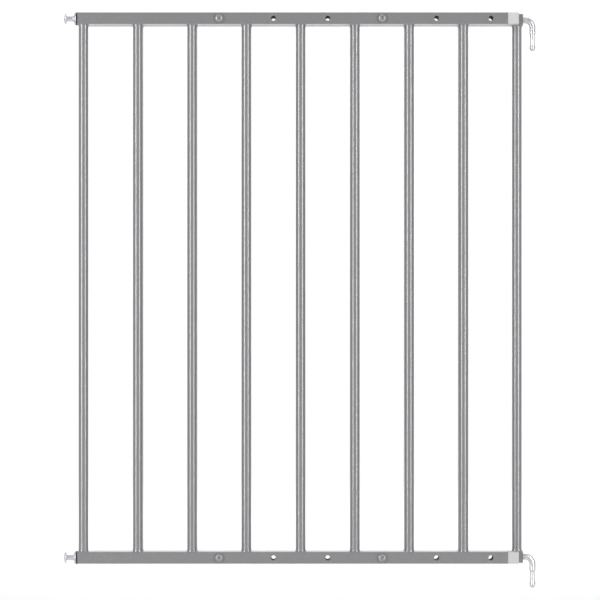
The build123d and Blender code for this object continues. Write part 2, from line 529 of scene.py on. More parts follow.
def handling_group():
    """Wide soft smudges from hands and wiping, and the fine dust that settles on top."""
    group, given, result = new_group(
        "Handling And Dust",
        [("Smudge Scale", 26.0), ("Dust Scale", 900.0), ("Dust", 0.5)],
        [("Smudge", "NodeSocketFloat"), ("Dust Mask", "NodeSocketFloat")],
    )
    place = object_place(group)
    smudge = noise_node(group, place, given.outputs["Smudge Scale"], 3.0, 0.6)
    group.links.new(ramp_node(group, smudge, 0.38, 0.66), result.inputs["Smudge"])
    geometry = group.nodes.new("ShaderNodeNewGeometry")
    up = group.nodes.new("ShaderNodeSeparateXYZ")
    group.links.new(geometry.outputs["Normal"], up.inputs["Vector"])
    level = ramp_node(group, up.outputs["Z"], 0.55, 0.98)
    specks = noise_node(group, place, given.outputs["Dust Scale"], 3.0, 0.7)
    dust = math_node(group, "MULTIPLY", level, ramp_node(group, specks, 0.40, 0.70))
    dust = math_node(group, "MULTIPLY", dust, given.outputs["Dust"], clamp=True)
    group.links.new(dust, result.inputs["Dust Mask"])
    return group


def drawn_lines_group():
    """Fine lines left by drawing, rolling or turning, along X."""
    group, given, result = new_group(
        "Drawn Lines",
        [("Line Scale", 2600.0), ("Stretch", 0.05)],
        [("Height", "NodeSocketFloat"), ("Streaks", "NodeSocketFloat")],
    )
    place = object_place(group)
    pull = group.nodes.new("ShaderNodeCombineXYZ")
    group.links.new(given.outputs["Stretch"], pull.inputs["X"])
    pull.inputs["Y"].default_value = 1.0
    pull.inputs["Z"].default_value = 1.0
    stretched = group.nodes.new("ShaderNodeVectorMath")
    stretched.operation = "MULTIPLY"
    group.links.new(place, stretched.inputs[0])
    group.links.new(pull.outputs["Vector"], stretched.inputs[1])
    lines = noise_node(group, stretched.outputs["Vector"], given.outputs["Line Scale"], 3.0, 0.6)
    broad = noise_node(group, stretched.outputs["Vector"], 420.0, 2.0)
    group.links.new(lines, result.inputs["Height"])
    group.links.new(ramp_node(group, broad, 0.35, 0.68), result.inputs["Streaks"])
    return group


def place_group(tree, name, make, **values):
    """Places a shared effect in a material with this material's own values."""
    node = tree.nodes.new("ShaderNodeGroup")
    node.node_tree = bpy.data.node_groups.get(name) or make()
    for label, value in values.items():
        node.inputs[label.replace("_", " ")].default_value = value
    return node


def mix_colours(tree, mask, first, second):
    """From the first colour to the second by a mask; each is a colour or a socket."""
    node = tree.nodes.new("ShaderNodeMix")
    node.data_type = "RGBA"
    tree.links.new(mask, node.inputs["Factor"])
    for socket, value in ((node.inputs["A"], first), (node.inputs["B"], second)):
        if isinstance(value, bpy.types.NodeSocket):
            tree.links.new(value, socket)
        else:
            socket.default_value = (*value, 1.0)
    return node.outputs["Result"]


def spread(tree, mask, low, high):
    """A mask from 0 to 1 as a value from low to high."""
    node = tree.nodes.new("ShaderNodeMapRange")
    tree.links.new(mask, node.inputs["Value"])
    node.inputs["To Min"].default_value = low
    node.inputs["To Max"].default_value = high
    return node.outputs["Result"]


def bump_node(tree, height, distance, strength=1.0):
    node = tree.nodes.new("ShaderNodeBump")
    node.inputs["Distance"].default_value = distance
    node.inputs["Strength"].default_value = strength
    tree.links.new(height, node.inputs["Height"])
    return node.outputs["Normal"]


def new_finish(name):
    """A material with only a Principled shader in it, ready for its textures."""
    material = bpy.data.materials.new(name)
    material.use_nodes = True
    tree = material.node_tree
    shader = next(n for n in tree.nodes if n.type == "BSDF_PRINCIPLED")
    return material, tree, shader


# ---- finishes ----

def powder_coat():
    """Satin grey powder coat: orange peel, faint mottling, thin edges and a little dust."""
    found = bpy.data.materials.get("powder_coat_grey")
    if found:
        return found
    colour = Vector(bpy.context.scene.gate_frame.paint)
    material, tree, shader = new_finish("powder_coat_grey")
    skin = place_group(tree, "Coat Skin", orange_peel_group, Grit=0.22)
    wear = place_group(tree, "Edge Wear", edge_wear_group, Amount=0.5)
    marks = place_group(tree, "Handling And Dust", handling_group, Dust=0.25)
    mottle = ramp_node(tree, noise_node(tree, object_place(tree), 130.0, 3.0), 0.3, 0.7)
    base = mix_colours(tree, mottle, colour * 0.985, colour * 1.015)
    base = mix_colours(tree, skin.outputs["Grit Mask"], base, colour * 1.16)
    base = mix_colours(tree, wear.outputs["Mask"], base, colour * 1.7)
    base = mix_colours(tree, marks.outputs["Dust Mask"], base, (0.42, 0.41, 0.39))
    tree.links.new(base, shader.inputs["Base Color"])
    rough = spread(tree, marks.outputs["Smudge"], 0.28, 0.32)
    tree.links.new(rough, shader.inputs["Roughness"])
    tree.links.new(bump_node(tree, skin.outputs["Height"], 0.000005), shader.inputs["Normal"])
    shader.inputs["Metallic"].default_value = 0.3
    shader.inputs["IOR"].default_value = 1.52
    shader.inputs["Coat Weight"].default_value = 0.6
    shader.inputs["Coat Roughness"].default_value = 0.17
    return material


def zinc_plate(name="zinc_plate", shade=1.0, rough_low=0.24, rough_high=0.36):
    """Zinc plate: fine drawn lines, cloudy patches and dull spots."""
    found = bpy.data.materials.get(name)
    if found:
        return found
    colour = Vector(bpy.context.scene.gate_hardware.zinc) * shade
    material, tree, shader = new_finish(name)
    lines = place_group(tree, "Drawn Lines", drawn_lines_group)
    marks = place_group(tree, "Handling And Dust", handling_group, Smudge_Scale=190.0, Dust=0.1)
    wear = place_group(tree, "Edge Wear", edge_wear_group, Break_Scale=900.0, Amount=0.6)
    clouds = ramp_node(tree, noise_node(tree, object_place(tree), 420.0, 3.0), 0.35, 0.7)
    base = mix_colours(tree, clouds, colour, colour * 0.86)
    base = mix_colours(tree, lines.outputs["Streaks"], base, colour * 0.93)
    base = mix_colours(tree, wear.outputs["Mask"], base, colour * 1.2)
    tree.links.new(base, shader.inputs["Base Color"])
    rough = spread(tree, marks.outputs["Smudge"], rough_low, rough_high)
    rough = math_node(tree, "ADD", rough, spread(tree, lines.outputs["Streaks"], 0.0, 0.05))
    tree.links.new(rough, shader.inputs["Roughness"])
    tree.links.new(bump_node(tree, lines.outputs["Height"], 0.000004), shader.inputs["Normal"])
    shader.inputs["Metallic"].default_value = 1.0
    return material


def dull_zinc():
    """The darker, duller plate of the panel screws."""
    return zinc_plate("zinc_plate_dull", 0.52, 0.46, 0.56)


def moulded_plastic(name, colour, grain, rough_low, rough_high, dust_colour):
    """Moulded plastic: fine spark-eroded grain, slight flow marks and soft shine on edges."""
    found = bpy.data.materials.get(name)
    if found:
        return found
    colour = Vector(colour)
    material, tree, shader = new_finish(name)
    skin = place_group(
        tree,
        "Coat Skin",
        orange_peel_group,
        Lump_Scale=1500.0,
        Grit_Scale=5200.0,
        Grit=0.7,
    )
    wear = place_group(tree, "Edge Wear", edge_wear_group, Break_Scale=520.0, Amount=0.35)
    marks = place_group(tree, "Handling And Dust", handling_group, Smudge_Scale=120.0, Dust=0.3)
    flow = ramp_node(tree, noise_node(tree, object_place(tree), 210.0, 2.0), 0.3, 0.75)
    base = mix_colours(tree, flow, colour, colour * 0.95)
    base = mix_colours(tree, wear.outputs["Mask"], base, colour * 1.12)
    base = mix_colours(tree, marks.outputs["Dust Mask"], base, dust_colour)
    tree.links.new(base, shader.inputs["Base Color"])
    rough = spread(tree, marks.outputs["Smudge"], rough_low, rough_high)
    tree.links.new(rough, shader.inputs["Roughness"])
    tree.links.new(bump_node(tree, skin.outputs["Height"], grain), shader.inputs["Normal"])
    shader.inputs["IOR"].default_value = 1.49
    return material


def cap_plastic():
    colour = bpy.context.scene.gate_plastic.cap
    return moulded_plastic("cap_plastic_light_grey", colour, 0.000010, 0.42, 0.52, (0.60, 0.59, 0.56))


def black_plastic():
    colour = bpy.context.scene.gate_plastic.plug
    return moulded_plastic("washer_plastic_black", colour, 0.000012, 0.36, 0.50, (0.10, 0.10, 0.095))


# ---- mesh tools ----

def facing(point, direction):
    """Stands +Z of a piece made at the origin along a direction, from a point."""
    turned = Vector(direction).to_track_quat("Z", "Y").to_matrix().to_4x4()
    return Matrix.Translation(point) @ turned


def move_all(bm, matrix):
    bmesh.ops.transform(bm, matrix=matrix, verts=bm.verts)


def edges_of(verts):
    """The edges whose two ends are both among these vertices."""
    chosen = set(verts)
    return [e for e in {e for v in chosen for e in v.link_edges} if set(e.verts) <= chosen]


def rounded(corners, steps=4):
    """A turned outline's (radius, height) points, with each corner rounded.

    A corner is (radius, height) or (radius, height, rounding).
    """
    points = []
    for index, corner in enumerate(corners):
        here = Vector(corner[:2])
        rounding = corner[2] if len(corner) > 2 else 0.0
        if not rounding:
            points.append(here)
            continue
        before = Vector(corners[index - 1][:2]) - here
        after = Vector(corners[(index + 1) % len(corners)][:2]) - here
        reach = min(rounding, 0.49 * before.length, 0.49 * after.length)
        start = here + before.normalized() * reach
        end = here + after.normalized() * reach
        for step in range(steps + 1):
            t = step / steps
            points.append(start * (1 - t) ** 2 + here * 2 * t * (1 - t) + end * t ** 2)
    return points


def spin_outline(bm, outline, segments, closed=False):
    """Turns an outline of (radius, height) points once around Z."""
    points = [bm.verts.new((radius, 0.0, height)) for radius, height in outline]
    pairs = list(zip(points, points[1:]))
    if closed:
        pairs.append((points[-1], points[0]))
    edges = [bm.edges.new(pair) for pair in pairs]
    bmesh.ops.spin(
        bm,
        geom=points + edges,
        cent=(0.0, 0.0, 0.0),
        axis=(0.0, 0.0, 1.0),
        angle=TURN,
        steps=segments,
        use_merge=True,
        use_duplicate=False,
    )
    bmesh.ops.remove_doubles(bm, verts=bm.verts, dist=CLOSE)


def soften(bm, edges, width, segments=3):
    if edges:
        bmesh.ops.bevel(
            bm,
            geom=edges,
            offset=width,
            offset_type="OFFSET",
            affect="EDGES",
            segments=segments,
            profile=0.5,
            material=-1,
            clamp_overlap=True,
        )


def block_on_x(size, middle):
    """A box of that size around a middle point."""
    bm = bmesh.new()
    place = Matrix.Translation(middle) @ Matrix.Diagonal((*size, 1.0))
    bmesh.ops.create_cube(bm, size=1.0, matrix=place)
    return bm


def long_edges(bm, length):
    """The edges that run along X for more than half of that length."""
    return [e for e in bm.edges if abs((e.verts[0].co - e.verts[1].co).x) > length / 2]


def cut_across(bm, point, normal):
    """Cuts every face where a plane crosses it."""
    everything = bm.verts[:] + bm.edges[:] + bm.faces[:]
    bmesh.ops.bisect_plane(bm, geom=everything, dist=CLOSE, plane_co=point, plane_no=normal)


def sharp_edges(bm, angle=50.0):
    return [e for e in bm.edges if e.is_manifold and e.calc_face_angle() > radians(angle)]


def draw_out(bm, ring, shift, scale=1.0, about=(0.0, 0.0, 0.0)):
    """Extrudes a ring of edges, moves it, scales it about a point and returns the new ring."""
    made = bmesh.ops.extrude_edge_only(bm, edges=ring)["geom"]
    verts = [g for g in made if isinstance(g, bmesh.types.BMVert)]
    bmesh.ops.translate(bm, vec=shift, verts=verts)
    middle = Matrix.Translation(about)
    matrix = middle @ Matrix.Scale(scale, 4) @ middle.inverted()
    bmesh.ops.transform(bm, matrix=matrix, verts=verts)
    return edges_of(verts)


def fill_ring(bm, ring):
    bmesh.ops.holes_fill(bm, edges=ring, sides=0)


def pierce(bm, face, radius, segments=40):
    """Swaps a flat four-sided face for the same face with a round hole in it."""
    middle = face.calc_center_median()
    border = list(face.edges)
    bmesh.ops.delete(bm, geom=[face], context="FACES_ONLY")
    cut = bmesh.ops.subdivide_edges(bm, edges=border, cuts=segments // 4 - 1)["geom_split"]
    border = [g for g in cut if isinstance(g, bmesh.types.BMEdge)]
    made = bmesh.ops.extrude_edge_only(bm, edges=border)["geom"]
    for vert in (g for g in made if isinstance(g, bmesh.types.BMVert)):
        vert.co = middle + (vert.co - middle).normalized() * radius


def rod_rows(start, end, pitch):
    """Heights close enough together to carry a thread."""
    count = max(2, round((end - start) / pitch * 8))
    return [start + (end - start) * i / count for i in range(count + 1)]


def cut_thread(bm, start, end, pitch, depth, runout):
    """Works a right-hand thread into the rows of a rod that stands on Z."""
    for vert in bm.verts:
        x, y, z = vert.co
        radius = hypot(x, y)
        if radius < depth or not start <= z <= end:
            continue
        flank = abs(2.0 * ((z / pitch - atan2(y, x) / TURN) % 1.0) - 1.0)
        groove = min(1.0, max(0.0, (flank - 0.12) / 0.76))
        fade = min(1.0, (z - start) / runout, (end - z) / runout)
        narrow = 1.0 - depth * groove * fade / radius
        vert.co = (x * narrow, y * narrow, z)


def finish_piece(bm, node, suffix, material, sharp=38.0):
    """Makes the object, shades it, and lets it stand for its CAD node on the node's body."""
    bmesh.ops.remove_doubles(bm, verts=bm.verts, dist=CLOSE)
    bmesh.ops.recalc_face_normals(bm, faces=bm.faces)
    if any(not edge.is_manifold for edge in bm.edges):
        raise RuntimeError(f"{node}: the new shape isn't closed")
    name = f"{node}_{suffix}"
    mesh = bpy.data.meshes.new(name)
    bm.to_mesh(mesh)
    bm.free()
    mesh.shade_smooth()
    mesh.set_sharp_from_angle(angle=radians(sharp))
    mesh.materials.append(material)
    piece = bpy.data.objects.new(name, mesh)
    bpy.context.scene.collection.objects.link(piece)
    even = piece.modifiers.new("Even Shading", "WEIGHTED_NORMAL")
    even.keep_sharp = True
    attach(piece, frame["nodes"][node]["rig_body"])
    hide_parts(node)


def middle_of(node):
    low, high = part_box(node)
    return (low + high) / 2


# ---- rails and bars ----

def bar_places(panel):
    """The X of a panel's bars, from the smallest."""
    return sorted(middle_of(f"{panel}_bar_{n + 1}").x for n in range(BARS_PER_PANEL))


def hole_places(panel):
    """The X of a rail's screw holes: one in each space, and one past the last bar."""
    bars = bar_places(panel)
    pitch = bars[1] - bars[0]
    if panel == "front":
        return [x + pitch / 2 for x in bars[FRONT_BLANK_SPACES:]]
    return [x - pitch / 2 for x in bars]


def square_tube(low, high, corner):
    """An open square tube along X with rounded long corners."""
    size = high - low
    bm = block_on_x(size, (low + high) / 2)
    ends = [f for f in bm.faces if abs(f.normal.x) > 0.9]
    bmesh.ops.delete(bm, geom=ends, context="FACES_ONLY")
    soften(bm, long_edges(bm, size.x), corner, segments=5)
    return bm


def rail_shape(node, holes, settings):
    """A rail: square tube with a drilled hole through both walls at each place."""
    low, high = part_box(node)
    bm = square_tube(low, high, settings.corner)
    patch = settings.hole * 0.8
    for x in holes:
        for side in (-patch, patch):
            cut_across(bm, (x + side, 0.0, 0.0), (1.0, 0.0, 0.0))
    drilled = [
        face
        for face in bm.faces
        if abs(face.normal.y) > 0.99
        and any(abs(face.calc_center_median().x - x) < 1e-5 for x in holes)
    ]
    for face in drilled:
        pierce(bm, face, settings.hole / 2)
    bmesh.ops.recalc_face_normals(bm, faces=bm.faces)
    bmesh.ops.solidify(bm, geom=bm.faces[:], thickness=settings.wall)
    soften(bm, sharp_edges(bm), settings.edge)
    return bm


class GATE_OT_build_rails(bpy.types.Operator):
    """Build the four drilled square-tube rails"""

    bl_idname = "gate.build_rails"
    bl_label = "Rails"

    def execute(self, context):
        settings = context.scene.gate_frame
        for panel in PANELS:
            holes = hole_places(panel)
            for level in LEVELS:
                node = f"{panel}_{level}_rail"
                bm = rail_shape(node, holes, settings)
                finish_piece(bm, node, "coated", powder_coat(), sharp=30.0)
        return {"FINISHED"}


def bar_shape(node, seed, settings):
    """A round tube with a rippled weld bead flowing into the rail at each end."""
    low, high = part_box(node)
    middle = (low + high) / 2
    radius = (high.x - low.x) / 2
    inner = radius - settings.bar_wall
    length = high.z - low.z
    weld = settings.weld
    sink = settings.wall * 0.3
    leg = settings.weld_leg
    toe = [
        (radius + weld, -sink),
        (radius + weld * 0.84, leg * 0.07),
        (radius + weld * 0.56, leg * 0.18),
        (radius + weld * 0.38, leg * 0.32),
        (radius + weld * 0.28, leg * 0.48),
        (radius + weld * 0.20, leg * 0.64),
        (radius + weld * 0.11, leg * 0.80),
        (radius + weld * 0.04, leg * 0.92),
        (radius, leg),
    ]
    outline = [(inner, -sink), *toe]
    outline += [(r, length - z) for r, z in reversed(toe)]
    outline.append((inner, length + sink))
    bm = bmesh.new()
    spin_outline(bm, outline, 64, closed=True)
    flat = radius + weld * 0.42
    for vert in bm.verts:
        x, y, z = vert.co
        out = hypot(x, y)
        if out <= radius + weld * 0.02:
            continue
        top = z > length / 2
        angle = atan2(y, x)
        rise = (out - radius) / weld
        phase = seed * 1.7 + (2.1 if top else 0.0)
        ripple = 0.16 * sin(settings.weld_ripples * angle + phase)
        ripple += 0.10 * sin(3.0 * angle + phase * 2.3)
        wide = radius + weld * rise * (1.0 + ripple)
        narrow = min(wide, radius + (flat - radius) * rise * (1.0 + 0.5 * ripple))
        share = abs(sin(angle)) ** 3
        out_new = wide * (1.0 - share) + narrow * share
        vert.co = (cos(angle) * out_new, sin(angle) * out_new, z)
    move_all(bm, Matrix.Translation((middle.x, middle.y, low.z)))
    return bm


class GATE_OT_build_bars(bpy.types.Operator):
    """Build the sixteen round bars with their welds"""

    bl_idname = "gate.build_bars"
    bl_label = "Bars"

    def execute(self, context):
        settings = context.scene.gate_frame
        for row, panel in enumerate(PANELS):
            for number in range(1, BARS_PER_PANEL + 1):
                node = f"{panel}_bar_{number}"
                bm = bar_shape(node, row * BARS_PER_PANEL + number, settings)
                finish_piece(bm, node, "coated", powder_coat(), sharp=40.0)
        return {"FINISHED"}


# ---- moulded pieces ----

class GATE_OT_dress_plugs(bpy.types.Operator):
    """Give the end plugs and the threaded inserts inside them their finishes"""

    bl_idname = "gate.dress_plugs"
    bl_label = "Plugs And Inserts"

    def execute(self, context):
        for panel in PANELS:
            for level in LEVELS:
                plug = frame["nodes"][f"{panel}_{level}_end_plug"]
                insert = frame["nodes"][f"{panel}_{level}_insert_nut"]
                for node, finish in ((plug, black_plastic()), (insert, zinc_plate())):
                    for place in node.material_slots:
                        place.material = finish
        return {"FINISHED"}


def glide_cap_shape(node, rail_end, outwards, pad_side, settings):
    """A cap: rounded block past the rail, hollow tongue in the tube and a pad on one side."""
    low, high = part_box(node)
    block_low = low.copy()
    block_high = high.copy()
    if outwards > 0:
        block_low.x = rail_end
    else:
        block_high.x = rail_end
    if pad_side > 0:
        block_high.y -= PAD_RISE
    else:
        block_low.y += PAD_RISE
    size = block_high - block_low
    middle = (block_low + block_high) / 2
    bm = block_on_x(size, middle)
    soften(bm, long_edges(bm, size.x), CAP_CORNER, segments=6)
    end_face = next(f for f in bm.faces if f.normal.x * outwards > 0.9)
    soften(bm, list(end_face.edges), settings.edge, segments=4)
    dish = open_face(bm, (outwards, 0.0, 0.0))
    outer = Vector((block_high.x if outwards > 0 else block_low.x, middle.y, middle.z))
    dish = draw_out(bm, dish, (0.0, 0.0, 0.0), DISH_SHARE, outer)
    dish = draw_out(bm, dish, (-DISH_DEPTH * outwards, 0.0, 0.0), DISH_FLOOR, outer)
    fill_ring(bm, dish)
    root = open_face(bm, (-outwards, 0.0, 0.0))
    inner = Vector((rail_end, middle.y, middle.z))
    far = low.x if outwards > 0 else high.x
    reach = far - rail_end
    tube = settings.tongue / size.z
    root = draw_out(bm, root, (0.0, 0.0, 0.0), tube, inner)
    tip = draw_out(bm, root, (reach * TONGUE_STRAIGHT, 0.0, 0.0))
    inner.x = far
    tip = draw_out(bm, tip, (reach * (1.0 - TONGUE_STRAIGHT), 0.0, 0.0), TONGUE_TIP, inner)
    tip = draw_out(bm, tip, (0.0, 0.0, 0.0), TONGUE_BORE, inner)
    tip = draw_out(bm, tip, (-reach * TONGUE_BORE_DEPTH, 0.0, 0.0))
    fill_ring(bm, tip)
    bmesh.ops.recalc_face_normals(bm, faces=bm.faces)
    raise_pad(bm, middle, size, pad_side, settings)
    return bm


def open_face(bm, direction):
    """Takes out the flat face that looks that way and returns its ring of edges."""
    face = max(bm.faces, key=lambda f: f.normal.dot(direction) * f.calc_area())
    ring = list(face.edges)
    bmesh.ops.delete(bm, geom=[face], context="FACES_ONLY")
    return ring


def raise_pad(bm, middle, size, pad_side, settings):
    """Cuts the pad's outline into the cap's inner side and raises it with soft edges."""
    half = Vector((settings.pad_length / 2, 0.0, settings.pad_height / 2))
    for axis in (0, 2):
        for side in (-1, 1):
            normal = Vector((0.0, 0.0, 0.0))
            normal[axis] = 1.0
            point = middle + normal * half[axis] * side
            cut_across(bm, point, normal)
    side_y = middle.y + pad_side * size.y / 2
    pad = []
    for face in bm.faces:
        spot = face.calc_center_median() - middle
        on_side = face.normal.y * pad_side > 0.99 and abs(spot.y + middle.y - side_y) < 1e-5
        if on_side and abs(spot.x) < half.x and abs(spot.z) < half.z:
            pad.append(face)
    grown = bmesh.ops.extrude_face_region(bm, geom=pad)
    bmesh.ops.delete(bm, geom=pad, context="FACES_ONLY")
    verts = [g for g in grown["geom"] if isinstance(g, bmesh.types.BMVert)]
    bmesh.ops.translate(bm, vec=(0.0, PAD_RISE * pad_side, 0.0), verts=verts)
    tops = [g for g in grown["geom"] if isinstance(g, bmesh.types.BMFace)]
    rim = [e for e in edges_of(verts) if sum(f in tops for f in e.link_faces) == 1]
    soften(bm, rim, PAD_EDGE, segments=3)


class GATE_OT_build_glide_caps(bpy.types.Operator):
    """Build the four light caps that the panels glide on"""

    bl_idname = "gate.build_glide_caps"
    bl_label = "Glide Caps"

    def execute(self, context):
        settings = context.scene.gate_plastic
        for panel, outwards, pad_side in (("rear", -1, -1), ("front", 1, 1)):
            for level in LEVELS:
                low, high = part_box(f"{panel}_{level}_rail")
                rail_end = high.x if outwards > 0 else low.x
                node = f"{panel}_{level}_glide_cap"
                bm = glide_cap_shape(node, rail_end, outwards, pad_side, settings)
                finish_piece(bm, node, "moulded", cap_plastic(), sharp=32.0)
        return {"FINISHED"}


# ---- hooks, studs and their nuts ----

def hinge_hook_shape(node, settings):
    """A rod with a threaded shank, one smooth bend, a round pin, a neck and a bulb."""
    low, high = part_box(node)
    rod = (high.y - low.y) / 2
    middle_y = (high.y + low.y) / 2
    shank_z = high.z - rod
    bend = settings.hook_bend
    length = -bend - low.x
    pitch = settings.rod_pitch
    thread_end = length - HOOK_THREAD_STOP
    tip = [(0.0, 0.0), (rod - ROD_CHAMFER, 0.0, 0.0002), (rod, ROD_CHAMFER, 0.0002)]
    outline = rounded(tip)
    outline += [(rod, z) for z in rod_rows(ROD_CHAMFER + 0.0003, thread_end, pitch)]
    outline.append((rod, length))
    bm = bmesh.new()
    spin_outline(bm, outline, 40)
    cut_thread(bm, RUNOUT_START, thread_end, pitch, settings.thread_depth * pitch, pitch)
    move_all(bm, facing((low.x, middle_y, shank_z), (1.0, 0.0, 0.0)))
    ring = [e for e in bm.edges if e.is_boundary]
    turned = bmesh.ops.spin(
        bm,
        geom=ring + list({v for e in ring for v in e.verts}),
        cent=(-bend, middle_y, shank_z - bend),
        axis=(0.0, 1.0, 0.0),
        angle=pi / 2,
        steps=24,
        use_duplicate=False,
    )["geom_last"]
    ring = [g for g in turned if isinstance(g, bmesh.types.BMEdge)]
    bottom = shank_z - bend
    radius = rod
    for depth, wanted in hook_leg(rod):
        z = low.z + depth
        about = (0.0, middle_y, z)
        ring = draw_out(bm, ring, (0.0, 0.0, z - bottom), wanted / radius, about)
        bottom = z
        radius = wanted
    fill_ring(bm, ring)
    return bm


def hook_leg(rod):
    """Stations (height over the tip, radius) down the leg: pin, taper, neck and bulb."""
    corners = [
        (rod, HOOK_PIN_FOOT + HOOK_PIN_LENGTH),
        (rod, HOOK_PIN_FOOT, 0.0008),
        (HOOK_NECK_RADIUS, HOOK_NECK_TOP, 0.0012),
        (HOOK_NECK_RADIUS, HOOK_NECK_FOOT, 0.0010),
        (HOOK_BULB_RADIUS, HOOK_BULB_TOP, 0.0022),
        (HOOK_BULB_RADIUS - 0.00005, HOOK_BULB_FOOT, 0.0018),
        (HOOK_TIP_RADIUS, 0.0, 0.0005),
        (0.0006, 0.0),
    ]
    return [(height, radius) for radius, height in rounded(corners, 6)][1:]


class GATE_OT_build_hinge_hooks(bpy.types.Operator):
    """Build the two bent hinge hooks"""

    bl_idname = "gate.build_hinge_hooks"
    bl_label = "Hinge Hooks"

    def execute(self, context):
        settings = context.scene.gate_hardware
        for level in LEVELS:
            node = f"hinge_hook_{level}"
            bm = hinge_hook_shape(node, settings)
            finish_piece(bm, node, "plated", zinc_plate(), sharp=75.0)
        return {"FINISHED"}


def latch_stud_shape(node, settings):
    """A headed stud, made on Z from its threaded tip up to its crown."""
    low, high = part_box(node)
    middle = (low + high) / 2
    length = high.x - low.x
    head = (high.z - low.z) / 2
    rod = ROD_RADIUS
    neck = STUD_NECK_RADIUS
    head_under = length - STUD_HEAD_THICKNESS
    thread_end = head_under - STUD_NECK_LENGTH + STUD_NECK_SPARE
    pitch = settings.rod_pitch
    outline = [(0.0, 0.0), (rod - ROD_CHAMFER, 0.0)]
    outline += [(rod, z) for z in rod_rows(ROD_CHAMFER, thread_end, pitch)]
    crown = [
        (rod, thread_end),
        (neck, thread_end + 0.0004, 0.0002),
        (neck, head_under, 0.0005),
        (head, head_under, 0.0003),
        (head, head_under + STUD_HEAD_RIM, 0.0007),
        (head - 0.0014, length - 0.0006, 0.0012),
        (0.004, length, 0.0012),
        (0.0, length),
    ]
    outline += rounded(crown, 5)[1:]
    bm = bmesh.new()
    spin_outline(bm, outline, 48)
    cut_thread(bm, RUNOUT_START, thread_end, pitch, settings.thread_depth * pitch, pitch)
    move_all(bm, facing((high.x, middle.y, middle.z), (-1.0, 0.0, 0.0)))
    return bm


class GATE_OT_build_latch_studs(bpy.types.Operator):
    """Build the two headed latch studs"""

    bl_idname = "gate.build_latch_studs"
    bl_label = "Latch Studs"

    def execute(self, context):
        settings = context.scene.gate_hardware
        for level in LEVELS:
            node = f"latch_stud_{level}"
            bm = latch_stud_shape(node, settings)
            finish_piece(bm, node, "plated", zinc_plate(), sharp=70.0)
        return {"FINISHED"}


def lock_nut_shape(node):
    """A low domed nut with a coin-milled rim, made on Z from its seat."""
    low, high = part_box(node)
    middle = (low + high) / 2
    height = high.x - low.x
    rim = (high.z - low.z) / 2
    corners = [
        (LOCK_NUT_BORE, 0.0, 0.0002),
        (rim, 0.0, 0.00015),
        (rim, LOCK_NUT_RIM, 0.0003),
        (rim - 0.0010, LOCK_NUT_RIM + 0.0010, 0.0010),
        (LOCK_NUT_TOP, height, 0.0008),
        (LOCK_NUT_BORE, height, 0.0003),
    ]
    bm = bmesh.new()
    spin_outline(bm, rounded(corners, 4), 144, closed=True)
    for vert in bm.verts:
        out = hypot(vert.co.x, vert.co.y)
        if out > rim - 0.00035 and 0.0001 < vert.co.z < LOCK_NUT_RIM + 0.00015:
            angle = atan2(vert.co.y, vert.co.x)
            narrow = 1.0 - MILLED_DEPTH * (0.5 + 0.5 * cos(MILLED_TEETH * angle)) / out
            vert.co.x *= narrow
            vert.co.y *= narrow
    move_all(bm, facing((high.x, middle.y, middle.z), (-1.0, 0.0, 0.0)))
    return bm


def washer_shape(node, bore, edge, direction):
    """A washer with rounded rims, made on Z and stood along its axis."""
    low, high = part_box(node)
    middle = (low + high) / 2
    axis = 0 if abs(direction[0]) > 0.5 else 1
    height = high[axis] - low[axis]
    rim = (high.z - low.z) / 2
    corners = [(bore, 0.0, edge), (rim, 0.0, edge), (rim, height, edge), (bore, height, edge)]
    bm = bmesh.new()
    spin_outline(bm, rounded(corners, 3), 64, closed=True)
    seat = middle.copy()
    seat[axis] = low[axis] if direction[axis] > 0 else high[axis]
    move_all(bm, facing(seat, direction))
    return bm


class GATE_OT_build_stud_locks(bpy.types.Operator):
    """Build the lock nuts and black washers of the latch studs"""

    bl_idname = "gate.build_stud_locks"
    bl_label = "Stud Locks"

    def execute(self, context):
        for level in LEVELS:
            nut = f"stud_lock_nut_{level}"
            washer = f"stud_washer_{level}"
            finish_piece(lock_nut_shape(nut), nut, "plated", zinc_plate(), sharp=45.0)
            bm = washer_shape(washer, STUD_WASHER_BORE, 0.0004, (-1.0, 0.0, 0.0))
            finish_piece(bm, washer, "moulded", black_plastic())
        return {"FINISHED"}


# ---- panel screws and cap nuts ----

def crown_faces(bm, top):
    """The faces at the top of a head that look up."""
    floor = top - HEAD_BAND
    return [f for f in bm.faces if f.calc_center_median().z > floor and f.normal.z > 0.2]


def sink_cross(bm, top, settings):
    """Sinks a tapering cross recess into a head that stands on Z."""
    span = settings.recess_span / 2
    width = settings.recess_width / 2
    arms = (Vector((1.0, 1.0, 0.0)).normalized(), Vector((-1.0, 1.0, 0.0)).normalized())
    reach = span * 1.1
    bmesh.ops.recalc_face_normals(bm, faces=bm.faces)
    for arm in arms:
        for offset in (-span, -width, width, span):
            near = crown_faces(bm, top)
            edges = list({e for f in near for e in f.edges})
            verts = list({v for f in near for v in f.verts})
            bmesh.ops.bisect_plane(
                bm,
                geom=near + edges + verts,
                dist=CLOSE,
                plane_co=arm * offset,
                plane_no=arm,
            )
    cross = []
    for face in crown_faces(bm, top):
        spot = face.calc_center_median()
        along, across = (abs(spot.dot(arm)) for arm in arms)
        if hypot(spot.x, spot.y) > reach:
            continue
        if min(along, across) < width and max(along, across) < span:
            cross.append(face)
    if not cross:
        raise RuntimeError("the cross recess found no faces")
    grown = bmesh.ops.extrude_face_region(bm, geom=cross)["geom"]
    bmesh.ops.delete(bm, geom=cross, context="FACES")
    floor = [g for g in grown if isinstance(g, bmesh.types.BMVert)]
    for vert in floor:
        out = hypot(vert.co.x, vert.co.y) / span
        vert.co.z = top - settings.recess_depth * (1.0 - 0.62 * min(1.0, out) ** 2)
        vert.co.x *= 0.80
        vert.co.y *= 0.80


